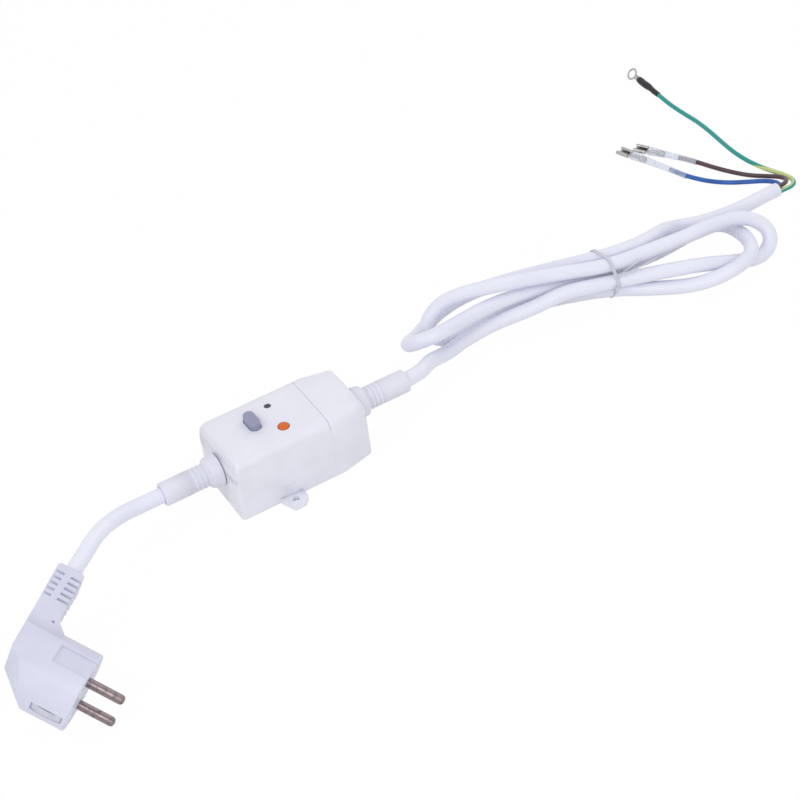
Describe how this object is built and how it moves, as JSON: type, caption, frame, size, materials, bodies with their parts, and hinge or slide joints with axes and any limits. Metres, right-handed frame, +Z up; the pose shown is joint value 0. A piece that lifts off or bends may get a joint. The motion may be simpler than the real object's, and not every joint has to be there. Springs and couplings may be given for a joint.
{
  "type": "residual current power cord",
  "caption": "Power cord with an in-line residual current device, reset and test buttons, an angled earthed plug and crimped free ends.",
  "frame": {"origin": "middle of the housing's flat base, on the surface that the housing and cords lie on", "axes": "+X along the housing from the plug side to the heater side, +Z up"},
  "size_m": [0.5534, 0.3013, 0.0481],
  "materials": {
    "white_shell": "satin",
    "grey_gland": "satin",
    "clamp_plastic": "matte",
    "carrier_plastic": "matte",
    "zinc_steel": "zinc plated",
    "cord_sheath": "satin",
    "grey_button": "satin",
    "orange_button": "satin",
    "spring_steel": "bright",
    "lens": "clear",
    "lamp": "translucent",
    "board": "matte",
    "component_black": "matte",
    "contact_brass": "bright",
    "coil_winding": "enamelled",
    "plug_moulding": "satin",
    "nickel_pin": "nickel plated",
    "clear_tie": "translucent",
    "green_core": "satin",
    "brown_core": "satin",
    "blue_core": "satin",
    "clear_sleeve": "translucent",
    "tin_terminal": "tin plated",
    "black_shrink": "satin"
  },
  "bodies": {
    "housing": {"board_components": "component_black", "circuit_board": "board", "coil_frame": "zinc_steel", "cord_clamp_screws": "zinc_steel", "cover_screws": "zinc_steel", "current_transformer": "component_black", "earth_heat_shrink": "black_shrink", "earth_link": "green_core", "earth_ring_terminal": "tin_terminal", "earth_wire": "green_core", "fixed_contacts": "contact_brass", "guide_frame": "clamp_plastic", "heater_cord_hank": "cord_sheath", "heater_cord_lead": "cord_sheath", "heater_cord_tail": "cord_sheath", "heater_side_cord_clamp": "clamp_plastic", "heater_side_cores": "brown_core", "heater_side_gland": "grey_gland", "heater_side_sheath_end": "cord_sheath", "housing_base": "white_shell", "indicator_lamp": "lamp", "indicator_lens": "lens", "inner_earth_contact": "nickel_pin", "latch_pin": "spring_steel", "live_receptacle": "tin_terminal", "live_sleeve": "clear_sleeve", "live_wire": "brown_core", "lower_plug_pin": "nickel_pin", "neutral_receptacle": "tin_terminal", "neutral_sleeve": "clear_sleeve", "neutral_wire": "blue_core", "outer_earth_contact": "nickel_pin", "plug_body": "plug_moulding", "plug_cord": "cord_sheath", "plug_side_cord_clamp": "clamp_plastic", "plug_side_cores": "blue_core", "plug_side_gland": "grey_gland", "plug_side_sheath_end": "cord_sheath", "reset_spring": "spring_steel", "sensed_conductors": "brown_core", "terminal_block": "clamp_plastic", "terminal_clamps": "contact_brass", "terminal_lid": "white_shell", "terminal_screws": "zinc_steel", "test_contact": "contact_brass", "test_spring": "spring_steel", "top_cover": "white_shell", "trip_coil": "coil_winding", "twist_tie": "clear_tie", "upper_plug_pin": "nickel_pin"},
    "reset": {"reset_button": "grey_button"},
    "carrier": {"contact_carrier": "carrier_plastic", "moving_contacts": "contact_brass"},
    "test": {"test_button": "orange_button"},
    "plunger": {"trip_plunger": "spring_steel"},
    "latch": {"trip_latch": "zinc_steel"}
  },
  "joints": [
    {"name": "reset_press", "type": "slide", "parent": "housing", "child": "reset", "axis": [0, 0, -1], "range_m": [0, 0.0025], "stiffness_N_per_m": 300, "deforming": ["reset_spring"]},
    {"name": "carrier_drop", "type": "slide", "parent": "housing", "child": "carrier", "axis": [0, 0, -1], "range_m": [0, 0.0025]},
    {"name": "test_press", "type": "slide", "parent": "housing", "child": "test", "axis": [0, 0, -1], "range_m": [0, 0.0012], "stiffness_N_per_m": 300, "deforming": ["test_spring"]},
    {"name": "latch_rock", "type": "hinge", "parent": "housing", "child": "latch", "pos_m": [-0.0095, -0.0046, 0.021], "axis": [0, 1, 0], "range_deg": [0, 16.5]},
    {"name": "plunger_throw", "type": "slide", "parent": "housing", "child": "plunger", "axis": [-1, 0, 0], "range_m": [0, 0.0012], "stiffness_N_per_m": 10}
  ],
  "couplings": [
    {"joint": "carrier_drop", "follows": "reset_press", "ratio": 1},
    {"joint": "latch_rock", "follows": "plunger_throw", "rad_per_m": 240}
  ]
}
